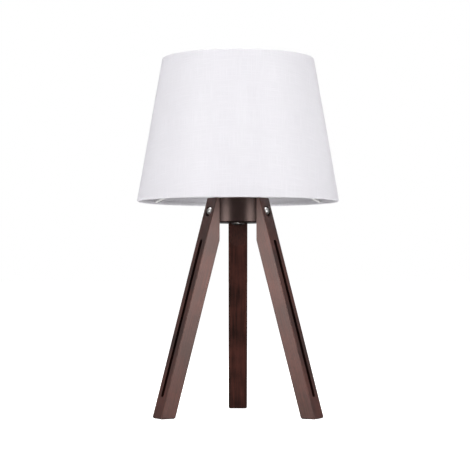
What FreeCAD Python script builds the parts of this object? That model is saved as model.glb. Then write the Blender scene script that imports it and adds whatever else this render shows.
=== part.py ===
"""Tripod table lamp: a conical hardback shade on a turned hub with three bolted legs.

Millimetres. The origin is on the floor under the lamp's axis, +Z is up and the
front of the lamp looks along -Y. One leg stands at the back, two at the front.
"""
import FreeCAD, Part
import math
import os
import re

import Sketcher
from FreeCAD import Placement, Rotation, Vector

# ---------------------------------------------------------------- sizes
# Every size that can be set by itself. Lengths in mm, angles in degrees.
SIZES = {
    # hub
    "hub_dia": 72.0,
    "hub_height": 32.0,
    "hub_underside": 249.0,
    "hub_arris": 1.5,
    "hub_bore": 10.4,
    "flat_depth": 1.6,
    "recess_dia": 26.0,
    "recess_depth": 3.0,
    # legs
    "splay": 15.85,
    "leg_width": 25.0,
    "leg_thick": 19.5,
    "leg_tip": 4.4,
    "leg_arris": 0.8,
    "flute_width": 6.7,
    "flute_depth": 5.5,
    "flute_length": 208.0,
    "flute_foot_gap": 28.0,
    "pad_thick": 1.2,
    "pad_inset": 1.0,
    # leg joint
    "bolt_rise": 14.4,
    "bolt_dia": 6.0,
    "bolt_hole_dia": 6.6,
    "bolt_length": 25.0,
    "bolt_head_dia": 10.5,
    "bolt_head_high": 3.3,
    "bolt_face_dia": 5.6,
    "bolt_dome": 6.1,
    "key_flats": 4.0,
    "key_depth": 2.0,
    "counterbore_dia": 14.0,
    "seat_wood": 7.0,
    "insert_dia": 10.0,
    "insert_length": 13.0,
    "insert_sink": 0.5,
    "dowel_rise": 6.0,
    "dowel_dia": 6.0,
    "dowel_in_hub": 12.0,
    "dowel_in_leg": 7.0,
    "dowel_arris": 0.8,
    # threaded tube, its nut and the cord's bush
    "tube_dia": 10.0,
    "tube_bore": 8.2,
    "washer_dia": 22.0,
    "washer_thick": 1.0,
    "nut_flats": 17.0,
    "nut_thick": 3.5,
    "bush_bore": 6.6,
    "bush_length": 10.0,
    "bush_flange_dia": 11.6,
    "bush_flange_thick": 0.9,
    # lampholder
    "boss_dia": 19.0,
    "boss_high": 8.0,
    "cap_overhang": 0.9,
    "cap_height": 24.0,
    "cap_wall": 2.2,
    "cap_dome": 12.0,
    "cap_floor": 4.0,
    "cap_skirt": 9.0,
    "grub_dia": 3.0,
    "grub_rise": 2.2,
    "thread_dia": 39.2,
    "sleeve_height": 36.0,
    "sleeve_wall": 2.0,
    "spigot_depth": 7.0,
    "mouth_dia": 31.0,
    "mouth_lip": 3.0,
    "core_base": 9.0,
    "shell_bore": 26.4,
    "shell_wall": 0.4,
    "shell_height": 28.0,
    "contact_thick": 0.4,
    "contact_width": 5.0,
    "contact_reach": 9.0,
    "contact_foot": 4.0,
    "contact_rise": 3.6,
    "terminal_pitch": 18.0,
    "terminal_dia": 3.0,
    "terminal_length": 6.0,
    "terminal_head_dia": 5.5,
    "terminal_head_high": 2.2,
    # shade collars
    "collar_flange_dia": 54.0,
    "collar_flange_thick": 2.0,
    "collar_barrel_dia": 46.0,
    "collar_height": 7.0,
    "collar_start": 1.0,
    "collar_grips": 24.0,
    "grip_dia": 3.0,
    # shade
    "shade_bottom_dia": 262.0,
    "shade_top_dia": 198.0,
    "shade_height": 186.5,
    "shade_underside": 276.3,
    "cloth": 0.6,
    "film": 0.4,
    "wire_dia": 3.0,
    "hem_depth": 9.0,
    # fitter
    "ring_outer": 58.0,
    "ring_play": 0.9,
    "ring_thick": 2.0,
    "arm_dia": 3.0,
    "arm_level": 8.0,
    "arm_bend": 10.0,
    "arm_slit": 0.5,
    # bulb
    "bulb_length": 108.0,
    "globe_dia": 60.0,
    "globe_wall": 1.2,
    "bulb_cap_dia": 26.2,
    "bulb_cap_high": 23.0,
    "bulb_cap_wall": 0.4,
    "bulb_tip_dia": 9.0,
    "bulb_tip_high": 1.2,
    "insulator_high": 4.0,
    "insulator_taper": 1.0,
    "cap_roll": 1.0,
    "neck_dia": 28.4,
    "neck_high": 4.0,
    "housing_flare": 48.0,
    "housing_wall": 2.0,
    "housing_ledge": 3.0,
    "joint_drop": 18.0,
    "board_thick": 1.6,
    # clearances
    "overcut": 1.0,
    "fit_gap": 0.05,
    "thread_gap": 0.08,
    "clamp_gap": 0.1,
    "glue_line": 0.05,
    "contact_gap": 0.1,
    "insulator_gap": 0.2,
}

doc = FreeCAD.newDocument("TripodTableLamp")
sheet = doc.addObject("Spreadsheet::Sheet", "Sizes")
for row, (alias, size) in enumerate(SIZES.items(), start=1):
    sheet.set(f"A{row}", alias.replace("_", " "))
    sheet.set(f"B{row}", str(size))
    sheet.setAlias(f"B{row}", alias)
doc.recompute()

# Heights and radii that several pieces share, each worked out from the sizes.
HUB_TOP = "(hub_underside + hub_height)"
SEAT_RADIUS = "(hub_dia / 2 - flat_depth)"
TIP_RADIUS = f"({SEAT_RADIUS} + leg_tip)"
FOOT_RADIUS = f"({TIP_RADIUS} + {HUB_TOP} * tan(splay))"
LEG_RUN = "(leg_thick / cos(splay))"
BOLT_HEIGHT = "(hub_underside + bolt_rise)"
DOWEL_HEIGHT = "(hub_underside + dowel_rise)"
HEAD_SEAT = f"({SEAT_RADIUS} + seat_wood)"
NUT_TOP = "(hub_underside + recess_depth - washer_thick)"
TUBE_END = f"({NUT_TOP} - nut_thick)"
SLEEVE_BASE = f"({HUB_TOP} + cap_height)"
SLEEVE_TOP = f"({SLEEVE_BASE} + sleeve_height)"
SPIGOT_END = f"({SLEEVE_BASE} - spigot_depth)"
CAP_RADIUS = "(thread_dia / 2 + cap_overhang)"
SPIGOT_RADIUS = f"({CAP_RADIUS} - cap_wall - fit_gap)"
SLEEVE_BORE = f"({SPIGOT_RADIUS} - sleeve_wall)"
CORE_TOP = f"({SPIGOT_END} + core_base)"
RING_UNDERSIDE = f"({SLEEVE_BASE} + collar_start + collar_height)"
CLAMP_UNDERSIDE = f"({RING_UNDERSIDE} + ring_thick + clamp_gap)"
BULB_BASE = f"({CORE_TOP} + contact_rise + contact_thick + contact_gap)"
GLOBE_CENTRE = f"({BULB_BASE} + bulb_length - globe_dia / 2)"
JOINT_HEIGHT = f"({GLOBE_CENTRE} - joint_drop)"

LEG_AZIMUTHS = {"leg_rear": 90, "leg_front_left": 210, "leg_front_right": 330}
FIRST_ARM_AZIMUTH = 30


def bind(text):
    """Turn the size names in an expression into references to the sheet."""
    return re.sub(rf"\b({'|'.join(SIZES)})\b", r"Sizes.\1", text)


def value(text):
    """Work out an expression now, for a sketch's first shape and for counts."""
    return float(sheet.evalExpression(bind(text)))


def new_body(name, azimuth=0):
    """A body turned about the lamp's axis."""
    body = doc.addObject("PartDesign::Body", name)
    body.Label = name
    body.AllowCompound = True
    body.Placement = Placement(Vector(), Rotation(Vector(0, 0, 1), azimuth))
    return body


def origin_of(body, role):
    """One of a body's own origin planes or axes."""
    return next(feature for feature in body.Origin.OriginFeatures if feature.Role == role)


def new_sketch(body, name, plane, across="0", up="0", out="0"):
    """A sketch on an origin plane, moved in the plane and lifted off it."""
    sketch = body.newObject("Sketcher::SketchObject", name)
    sketch.AttachmentSupport = [(origin_of(body, plane), "")]
    sketch.MapMode = "FlatFace"
    for letter, text in zip("xyz", (across, up, out)):
        if text != "0":
            sketch.setExpression(f"AttachmentOffset.Base.{letter}", bind(text))
    return sketch


def hold(sketch, kind, text, *where):
    """A dimension whose value comes from the sheet."""
    index = sketch.addConstraint(Sketcher.Constraint(kind, *where, value(text)))
    sketch.setExpression(f"Constraints[{index}]", bind(text))


def arc_between(start, end, radius, side):
    """The short arc from start to end; side is 1 where it turns left, -1 right."""
    chord = end - start
    rise = math.sqrt(max(radius ** 2 - chord.Length ** 2 / 4, 0))
    left = Vector(-chord.y, chord.x, 0).normalize()
    centre = (start + end) / 2 + left * rise * side
    first, last = (start, end) if side > 0 else (end, start)
    angles = [math.atan2(point.y - centre.y, point.x - centre.x) for point in (first, last)]
    if angles[1] < angles[0]:
        angles[1] += 2 * math.pi
    return Part.ArcOfCircle(Part.Circle(centre, Vector(0, 0, 1), radius), *angles)


def draw_outline(sketch, corners, arcs=None):
    """A closed outline. corners are (x, y) expressions, and arcs gives the edge
    after a corner its radius and side."""
    arcs = arcs or {}
    points = [Vector(value(x), value(y), 0) for x, y in corners]
    ends = []
    for index, start in enumerate(points):
        end = points[(index + 1) % len(points)]
        if index in arcs:
            radius, side = arcs[index]
            sketch.addGeometry(arc_between(start, end, value(radius), side), False)
            hold(sketch, "Radius", radius, index)
            ends.append((1, 2) if side > 0 else (2, 1))
        else:
            sketch.addGeometry(Part.LineSegment(start, end), False)
            ends.append((1, 2))
    for index, (x, y) in enumerate(corners):
        following = (index + 1) % len(corners)
        join = Sketcher.Constraint("Coincident", index, ends[index][1], following, ends[following][0])
        sketch.addConstraint(join)
        hold(sketch, "DistanceX", x, -1, 1, index, ends[index][0])
        hold(sketch, "DistanceY", y, -1, 1, index, ends[index][0])
    return sketch


def draw_circle(sketch, diameter, across="0", up="0"):
    """A circle held by its centre and its diameter."""
    centre = Vector(value(across), value(up), 0)
    index = sketch.addGeometry(Part.Circle(centre, Vector(0, 0, 1), value(diameter) / 2), False)
    hold(sketch, "DistanceX", across, -1, 1, index, 3)
    hold(sketch, "DistanceY", up, -1, 1, index, 3)
    hold(sketch, "Diameter", diameter, index)
    return sketch


def hexagon(flats):
    """The corners of a hexagon with two corners on the sketch's own Y axis."""
    corners = []
    for corner in range(6):
        angle = 30 + 60 * corner
        corners.append((f"{flats} / sqrt(3) * cos({angle})", f"{flats} / sqrt(3) * sin({angle})"))
    return corners


def revolve(body, sketch, axis="V_Axis"):
    """A full turn of a sketch about one of its own axes."""
    turned = body.newObject("PartDesign::Revolution", "Turned")
    turned.Profile = sketch
    turned.ReferenceAxis = (sketch, [axis])
    turned.Angle = 360
    sketch.Visibility = False
    return turned


def pad(body, sketch, length, symmetric=False):
    """Material on the sketch, forwards or to both sides."""
    added = body.newObject("PartDesign::Pad", "Added")
    added.Profile = sketch
    added.SideType = "Symmetric" if symmetric else "One side"
    added.setExpression("Length", bind(length))
    return added


def pocket(body, sketch, length, forwards=False, symmetric=False):
    """A cut of a given depth, away from the sketch's normal unless forwards."""
    cut = body.newObject("PartDesign::Pocket", "Cut")
    cut.Profile = sketch
    cut.SideType = "Symmetric" if symmetric else "One side"
    cut.Reversed = forwards
    cut.setExpression("Length", bind(length))
    return cut


def repeat_round(body, features, count):
    """Features repeated evenly about the lamp's axis."""
    pattern = body.newObject("PartDesign::PolarPattern", "Round")
    pattern.Originals = features
    pattern.Axis = (origin_of(body, "Z_Axis"), [""])
    pattern.Angle = 360
    pattern.Occurrences = count
    body.Tip = pattern
    return pattern


def ease(body, radius, wanted):
    """A rounded arris on those edges of the body so far that wanted picks."""
    doc.recompute()
    base = body.Tip
    names = [f"Edge{i}" for i, edge in enumerate(base.Shape.Edges, start=1) if wanted(edge)]
    fillet = body.newObject("PartDesign::Fillet", "Eased")
    fillet.Base = (base, names)
    fillet.setExpression("Radius", bind(radius))
    return fillet


def turned_piece(name, corners, arcs=None, azimuth=0):
    """A piece that is one turned profile about the lamp's axis."""
    body = new_body(name, azimuth)
    sketch = draw_outline(new_sketch(body, "Profile", "XZ_Plane"), corners, arcs)
    return body, revolve(body, sketch)


def tube_corners(inner, outer, low, high):
    """The profile of a plain ring or tube."""
    return [(inner, low), (outer, low), (outer, high), (inner, high)]


# ---------------------------------------------------------------- hub
def make_hub():
    """Turned hardwood drum, bored for the tube, with a milled seat for each leg."""
    body = new_body("hub", LEG_AZIMUTHS["leg_rear"])
    drum_sketch = draw_circle(new_sketch(body, "Drum", "XY_Plane", out="hub_underside"), "hub_dia")
    pad(body, drum_sketch, "hub_height")
    ease(body, "hub_arris", lambda edge: True)
    seat = new_sketch(body, "LegSeat", "YZ_Plane", up="hub_underside", out=SEAT_RADIUS)
    half = "(hub_dia / 2)"
    top = "hub_height + overcut"
    draw_outline(seat, [(f"-{half}", "-overcut"), (half, "-overcut"), (half, top), (f"-{half}", top)])
    seat_cut = pocket(body, seat, "flat_depth + overcut", forwards=True)
    insert = new_sketch(body, "InsertHole", "YZ_Plane", up=BOLT_HEIGHT, out=SEAT_RADIUS)
    insert_cut = pocket(body, draw_circle(insert, "insert_dia"), "bolt_length - seat_wood + overcut")
    dowel = new_sketch(body, "DowelHole", "YZ_Plane", up=DOWEL_HEIGHT, out=SEAT_RADIUS)
    dowel_cut = pocket(body, draw_circle(dowel, "dowel_dia + 2 * fit_gap"), "dowel_in_hub + overcut")
    repeat_round(body, [seat_cut, insert_cut, dowel_cut], len(LEG_AZIMUTHS))
    bore = new_sketch(body, "TubeBore", "XY_Plane", out="hub_underside")
    pocket(body, draw_circle(bore, "hub_bore"), "hub_height", forwards=True)
    recess = new_sketch(body, "NutRecess", "XY_Plane", out="hub_underside")
    pocket(body, draw_circle(recess, "recess_dia"), "recess_depth", forwards=True)
    return body


# ---------------------------------------------------------------- legs
def make_leg(name, azimuth):
    """Splayed leg: upright seat against the hub, level foot, bolt in a
    counterbore through the leaning face and a stopped flute down that face."""
    body = new_body(name, azimuth)
    side = new_sketch(body, "Side", "XZ_Plane")
    knee = f"({HUB_TOP} - ({LEG_RUN} - leg_tip) / tan(splay))"
    outer_foot = f"{FOOT_RADIUS} - pad_thick * tan(splay)"
    corners = [
        (outer_foot, "pad_thick"),
        (TIP_RADIUS, HUB_TOP),
        (SEAT_RADIUS, HUB_TOP),
        (SEAT_RADIUS, knee),
        (f"{outer_foot} - {LEG_RUN}", "pad_thick"),
    ]
    pad(body, draw_outline(side, corners), "leg_width", symmetric=True)
    ease(body, "leg_arris", long_leaning_edge)

    flute = new_sketch(body, "Flute", "YZ_Plane", out=FOOT_RADIUS)
    lean = Rotation(Vector(-1, 0, 0), value("splay"))
    flute.AttachmentOffset = Placement(flute.AttachmentOffset.Base, lean)
    flute.setExpression("AttachmentOffset.Rotation.Angle", bind("splay"))
    half = "(flute_width / 2)"
    low = f"(flute_foot_gap + {half})"
    high = f"(flute_foot_gap + flute_length - {half})"
    slot = [
        (half, low), (half, high), ("0", f"{high} + {half}"),
        (f"-{half}", high), (f"-{half}", low), ("0", f"{low} - {half}"),
    ]
    quarter = (half, 1)
    pocket(body, draw_outline(flute, slot, {1: quarter, 2: quarter, 4: quarter, 5: quarter}), "flute_depth")

    head = new_sketch(body, "Counterbore", "YZ_Plane", up=BOLT_HEIGHT, out=HEAD_SEAT)
    pocket(body, draw_circle(head, "counterbore_dia"), "leg_thick", forwards=True)
    hole = new_sketch(body, "BoltHole", "YZ_Plane", up=BOLT_HEIGHT, out=SEAT_RADIUS)
    pocket(body, draw_circle(hole, "bolt_hole_dia"), "leg_thick", forwards=True)
    dowel = new_sketch(body, "DowelHole", "YZ_Plane", up=DOWEL_HEIGHT, out=SEAT_RADIUS)
    pocket(body, draw_circle(dowel, "dowel_dia + 2 * fit_gap"), "dowel_in_leg + overcut", forwards=True)
    return body


def long_leaning_edge(edge):
    """The four long arrises of a leg, which lean with it."""
    start, end = (vertex.Point for vertex in edge.Vertexes)
    return abs(start.x - end.x) > value("leg_tip") * 2 and abs(start.z - end.z) > value("leg_thick")


def make_foot_pads():
    """Felt pads, a little smaller than the ends of the legs."""
    body = new_body("foot_pads", LEG_AZIMUTHS["leg_rear"])
    outer = f"({FOOT_RADIUS} - pad_thick * tan(splay) - pad_inset)"
    inner = f"({FOOT_RADIUS} - pad_thick * tan(splay) - {LEG_RUN} + pad_inset)"
    half = "(leg_width / 2 - pad_inset)"
    outline = [(outer, f"-{half}"), (outer, half), (inner, half), (inner, f"-{half}")]
    felt = pad(body, draw_outline(new_sketch(body, "Felt", "XY_Plane"), outline), "pad_thick")
    repeat_round(body, [felt], len(LEG_AZIMUTHS))
    return body


# ---------------------------------------------------------------- leg joint
def make_leg_bolts():
    """Button-head bolts with a hexagon key socket, one level bolt to each leg."""
    body = new_body("leg_bolts", LEG_AZIMUTHS["leg_rear"])
    profile = new_sketch(body, "Profile", "XZ_Plane", across=HEAD_SEAT, up=BOLT_HEIGHT)
    corners = [
        ("-bolt_length", "0"), ("bolt_head_high", "0"), ("bolt_head_high", "bolt_face_dia / 2"),
        ("0", "bolt_head_dia / 2"), ("0", "bolt_dia / 2"), ("-bolt_length", "bolt_dia / 2"),
    ]
    draw_outline(profile, corners, {2: ("bolt_dome", 1)})
    shank = revolve(body, profile, "H_Axis")
    key = new_sketch(body, "KeySocket", "YZ_Plane", up=BOLT_HEIGHT, out=f"{HEAD_SEAT} + bolt_head_high")
    socket = pocket(body, draw_outline(key, hexagon("key_flats")), "key_depth")
    repeat_round(body, [shank, socket], len(LEG_AZIMUTHS))
    return body


def make_bolt_inserts():
    """Threaded inserts that the bolts pull against, sunk just under each seat."""
    body = new_body("bolt_inserts", LEG_AZIMUTHS["leg_rear"])
    face = f"{SEAT_RADIUS} - insert_sink"
    sketch = new_sketch(body, "Barrel", "YZ_Plane", up=BOLT_HEIGHT, out=face)
    barrel = pad(body, draw_circle(sketch, "insert_dia - 2 * fit_gap"), "insert_length")
    barrel.Reversed = True
    bore_sketch = new_sketch(body, "Bore", "YZ_Plane", up=BOLT_HEIGHT, out=face)
    bore = pocket(body, draw_circle(bore_sketch, "bolt_dia + 2 * fit_gap"), "insert_length")
    repeat_round(body, [barrel, bore], len(LEG_AZIMUTHS))
    return body


def make_leg_dowels():
    """Beech dowels under the bolts, so that a leg can't turn on its bolt."""
    body = new_body("leg_dowels", LEG_AZIMUTHS["leg_rear"])
    profile = new_sketch(body, "Profile", "XZ_Plane", across=SEAT_RADIUS, up=DOWEL_HEIGHT)
    radius = "dowel_dia / 2"
    corners = [
        ("-dowel_in_hub", "0"), ("dowel_in_leg", "0"), ("dowel_in_leg", f"{radius} - dowel_arris"),
        ("dowel_in_leg - dowel_arris", radius), ("dowel_arris - dowel_in_hub", radius),
        ("-dowel_in_hub", f"{radius} - dowel_arris"),
    ]
    peg = revolve(body, draw_outline(profile, corners), "H_Axis")
    repeat_round(body, [peg], len(LEG_AZIMUTHS))
    return body


# ---------------------------------------------------------------- tube and cord inlet
def make_threaded_tube():
    """Threaded steel tube that ties the lampholder to the hub and carries the cord."""
    top = f"{HUB_TOP} + boss_high"
    return turned_piece("threaded_tube", tube_corners("tube_bore / 2", "tube_dia / 2", TUBE_END, top))


def make_lock_washer():
    """Plain washer in the recess under the hub."""
    low = NUT_TOP
    high = f"{NUT_TOP} + washer_thick"
    return turned_piece("tube_washer", tube_corners("tube_dia / 2 + fit_gap", "washer_dia / 2", low, high))


def make_tube_nut():
    """Thin hexagon nut, one corner to the front; its lower part stands below the hub."""
    body = new_body("tube_nut")
    flats = draw_outline(new_sketch(body, "Flats", "XY_Plane", out=TUBE_END), hexagon("nut_flats"))
    pad(body, flats, "nut_thick")
    bore = draw_circle(new_sketch(body, "Bore", "XY_Plane", out=TUBE_END), "tube_dia + 2 * fit_gap")
    pocket(body, bore, "nut_thick", forwards=True)
    return body


def make_cord_bush():
    """Flanged plastic bush in the tube's lower end, where the cord goes in."""
    inner = "bush_bore / 2"
    outer = "tube_bore / 2 - fit_gap"
    low = f"{TUBE_END} - bush_flange_thick"
    corners = [
        (inner, low), ("bush_flange_dia / 2", low), ("bush_flange_dia / 2", TUBE_END),
        (outer, TUBE_END), (outer, f"{TUBE_END} + bush_length"), (inner, f"{TUBE_END} + bush_length"),
    ]
    return turned_piece("cord_bush", corners)


# ---------------------------------------------------------------- lampholder
def make_holder_cap():
    """Moulded cap: a boss on the tube and a domed cup that the sleeve screws into."""
    rim = CAP_RADIUS
    inside = f"{CAP_RADIUS} - cap_wall"
    dome_top = f"{SLEEVE_BASE} - cap_skirt"
    corners = [
        ("tube_dia / 2 + fit_gap", HUB_TOP), ("boss_dia / 2", HUB_TOP),
        ("boss_dia / 2", f"{HUB_TOP} + cap_floor"), (rim, dome_top), (rim, SLEEVE_BASE),
        (inside, SLEEVE_BASE), (inside, dome_top), ("boss_dia / 2", f"{HUB_TOP} + boss_high"),
        ("tube_dia / 2 + fit_gap", f"{HUB_TOP} + boss_high"),
    ]
    body, _ = turned_piece("holder_cap", corners, {2: ("cap_dome", 1)}, LEG_AZIMUTHS["leg_rear"])
    hole = new_sketch(body, "GrubHole", "YZ_Plane", up=f"{HUB_TOP} + grub_rise")
    pocket(body, draw_circle(hole, "grub_dia + 2 * fit_gap"), "boss_dia / 2 + overcut", forwards=True)
    return body


def make_grub_screw():
    """Grub screw at the back of the boss, which locks the cap on the tube."""
    body = new_body("cap_grub_screw", LEG_AZIMUTHS["leg_rear"])
    tube_face = "(tube_dia / 2 + fit_gap)"
    sketch = new_sketch(body, "Screw", "YZ_Plane", up=f"{HUB_TOP} + grub_rise", out=tube_face)
    pad(body, draw_circle(sketch, "grub_dia"), f"boss_dia / 2 - {tube_face}")
    return body


def make_holder_sleeve():
    """Threaded outer sleeve: its spigot screws into the cap, its lip holds the core."""
    corners = [
        (SLEEVE_BORE, SPIGOT_END), (SPIGOT_RADIUS, SPIGOT_END), (SPIGOT_RADIUS, SLEEVE_BASE),
        ("thread_dia / 2", SLEEVE_BASE), ("thread_dia / 2", SLEEVE_TOP), ("mouth_dia / 2", SLEEVE_TOP),
        ("mouth_dia / 2", f"{SLEEVE_TOP} - mouth_lip"), (SLEEVE_BORE, f"{SLEEVE_TOP} - mouth_lip"),
    ]
    return turned_piece("holder_sleeve", corners)


def make_holder_core():
    """Glazed ceramic cup that carries the live parts."""
    outer = f"{SLEEVE_BORE} - fit_gap"
    inner = "(shell_bore / 2 + shell_wall + fit_gap)"
    rim = f"{SLEEVE_TOP} - mouth_lip - fit_gap"
    corners = [
        ("0", SPIGOT_END), (outer, SPIGOT_END), (outer, rim),
        (inner, rim), (inner, CORE_TOP), ("0", CORE_TOP),
    ]
    body, _ = turned_piece("holder_core", corners)
    hole = new_sketch(body, "TerminalHole", "XY_Plane", out=SPIGOT_END)
    draw_circle(hole, "terminal_dia + 2 * fit_gap", "terminal_pitch / 2")
    drilled = pocket(body, hole, "terminal_length + fit_gap", forwards=True)
    repeat_round(body, [drilled], 2)
    return body


def make_screw_shell():
    """Brass shell that the bulb's cap screws into."""
    inner = "shell_bore / 2"
    outer = "shell_bore / 2 + shell_wall"
    return turned_piece("screw_shell", tube_corners(inner, outer, CORE_TOP, f"{CORE_TOP} + shell_height"))


def make_centre_contact():
    """Bronze tongue that rises from the core's floor to the bulb's tip."""
    body = new_body("centre_contact", LEG_AZIMUTHS["leg_rear"])
    low = CORE_TOP
    top = f"{CORE_TOP} + contact_rise"
    corners = [
        ("contact_reach", low), ("contact_reach", f"{low} + contact_thick"),
        ("contact_foot", f"{low} + contact_thick"), ("0.2", f"{top} + contact_thick"),
        ("-contact_foot / 2", f"{top} + contact_thick"), ("-contact_foot / 2", top),
        ("0", top), ("contact_foot - 0.2", low),
    ]
    pad(body, draw_outline(new_sketch(body, "Side", "XZ_Plane"), corners), "contact_width", symmetric=True)
    return body


def make_terminal_screws():
    """Two screws under the core that clamp the cord's wires."""
    body = new_body("terminal_screws")
    profile = new_sketch(body, "Profile", "XZ_Plane", across="terminal_pitch / 2", up=SPIGOT_END)
    corners = [
        ("0", "-terminal_head_high"), ("terminal_head_dia / 2", "-terminal_head_high"),
        ("terminal_head_dia / 2", "0"), ("terminal_dia / 2", "0"),
        ("terminal_dia / 2", "terminal_length"), ("0", "terminal_length"),
    ]
    screw = revolve(body, draw_outline(profile, corners))
    repeat_round(body, [screw], 2)
    return body


def make_collar(name, barrel_up):
    """Shade collar: a gripped flange against the shade's ring and a short barrel."""
    bore = "(thread_dia / 2 + thread_gap)"
    barrel = "collar_barrel_dia / 2"
    flange = "collar_flange_dia / 2"
    if barrel_up:
        low = CLAMP_UNDERSIDE
        levels = [low, f"{low} + collar_flange_thick", f"{low} + collar_height"]
        corners = [
            (bore, levels[0]), (flange, levels[0]), (flange, levels[1]),
            (barrel, levels[1]), (barrel, levels[2]), (bore, levels[2]),
        ]
    else:
        high = RING_UNDERSIDE
        levels = [f"{high} - collar_height", f"{high} - collar_flange_thick", high]
        corners = [
            (bore, levels[0]), (barrel, levels[0]), (barrel, levels[1]),
            (flange, levels[1]), (flange, levels[2]), (bore, levels[2]),
        ]
    body, _ = turned_piece(name, corners)
    grip = new_sketch(body, "Grip", "XY_Plane", out=levels[0])
    draw_circle(grip, "grip_dia", "collar_flange_dia / 2 + grip_dia / 4")
    cut = pocket(body, grip, "collar_height", forwards=True)
    repeat_round(body, [cut], int(value("collar_grips")))
    return body


# ---------------------------------------------------------------- shade
# The wall runs between the centres of the two edge wires. A point on it is
# given by its distance along the wall from one end and its distance outwards.
WRAP = "(wire_dia / 2 + fit_gap)"
EDGE = f"({WRAP} + cloth)"
WALL_RUN = "((shade_bottom_dia - shade_top_dia) / 2)"
WALL_RISE = f"(shade_height - 2 * {EDGE})"
WALL_LENGTH = f"sqrt({WALL_RUN} ^ 2 + {WALL_RISE} ^ 2)"
WALL_SIN = f"({WALL_RUN} / {WALL_LENGTH})"
WALL_COS = f"({WALL_RISE} / {WALL_LENGTH})"
BOTTOM_WIRE = (f"(shade_bottom_dia / 2 - {EDGE})", f"(shade_underside + {EDGE})")
TOP_WIRE = (f"(shade_top_dia / 2 - {EDGE})", f"(shade_underside + shade_height - {EDGE})")
FILM_OUTSIDE = f"({WRAP} - glue_line)"
FILM_INSIDE = f"({FILM_OUTSIDE} - film)"
HEM_OUTSIDE = f"({FILM_INSIDE} - glue_line)"
HEM_INSIDE = f"({HEM_OUTSIDE} - cloth)"


def on_wall(end, along, out):
    """A point by its distances from an edge wire's centre: up the wall and outwards."""
    x = f"{end[0]} - ({along}) * {WALL_SIN} + ({out}) * {WALL_COS}"
    y = f"{end[1]} + ({along}) * {WALL_COS} + ({out}) * {WALL_SIN}"
    return x, y


def round_wire(end, radius, first, last):
    """Corners of an eight-sided turn round an edge wire, its first flat on the wall."""
    step = 1 if last > first else -1
    reach = f"({radius}) / cos(22.5)"
    angles = [45 * eighth + 22.5 for eighth in range(first, last + step, step)]
    return [on_wall(end, f"{reach} * sin({angle})", f"{reach} * cos({angle})") for angle in angles]


def make_shade_cover():
    """White fabric: one conical wall whose edges roll round the wires and are
    glued back inside, slit where the fitter's arms reach the bottom wire."""
    corners = round_wire(TOP_WIRE, EDGE, 0, 4)
    corners += [on_wall(TOP_WIRE, "-hem_depth", face) for face in (HEM_INSIDE, HEM_OUTSIDE)]
    corners += round_wire(TOP_WIRE, WRAP, 4, 0)
    corners += round_wire(BOTTOM_WIRE, WRAP, -1, -5)
    corners += [on_wall(BOTTOM_WIRE, "hem_depth", face) for face in (HEM_OUTSIDE, HEM_INSIDE)]
    corners += round_wire(BOTTOM_WIRE, EDGE, -5, -1)
    body, _ = turned_piece("shade_cover", corners, azimuth=FIRST_ARM_AZIMUTH)
    slit = new_sketch(body, "ArmSlit", "XZ_Plane")
    left = f"{BOTTOM_WIRE[0]} - 2 * wire_dia"
    low = f"{BOTTOM_WIRE[1]} - arm_dia / 2"
    high = f"{BOTTOM_WIRE[1]} + arm_dia"
    draw_outline(slit, [(left, low), (BOTTOM_WIRE[0], low), (BOTTOM_WIRE[0], high), (left, high)])
    cut = pocket(body, slit, "arm_dia + arm_slit", symmetric=True)
    repeat_round(body, [cut], 3)
    return body


def make_shade_liner():
    """Clear stiff film that the fabric is laminated to."""
    corners = [
        on_wall(BOTTOM_WIRE, "wire_dia / 2", FILM_INSIDE),
        on_wall(BOTTOM_WIRE, "wire_dia / 2", FILM_OUTSIDE),
        on_wall(TOP_WIRE, "-wire_dia / 2", FILM_OUTSIDE),
        on_wall(TOP_WIRE, "-wire_dia / 2", FILM_INSIDE),
    ]
    return turned_piece("shade_liner", corners)


def make_edge_wire(name, centre):
    """One of the two wire hoops inside the rolled edges, drawn with eight flats."""
    return turned_piece(name, round_wire(centre, "wire_dia / 2 * cos(22.5)", 0, 7))


# ---------------------------------------------------------------- fitter
def make_fitter_ring():
    """Pressed steel ring that the two collars clamp."""
    low = RING_UNDERSIDE
    high = f"{RING_UNDERSIDE} + ring_thick"
    corners = tube_corners("thread_dia / 2 + ring_play", "ring_outer / 2", low, high)
    return turned_piece("fitter_ring", corners)


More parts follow.
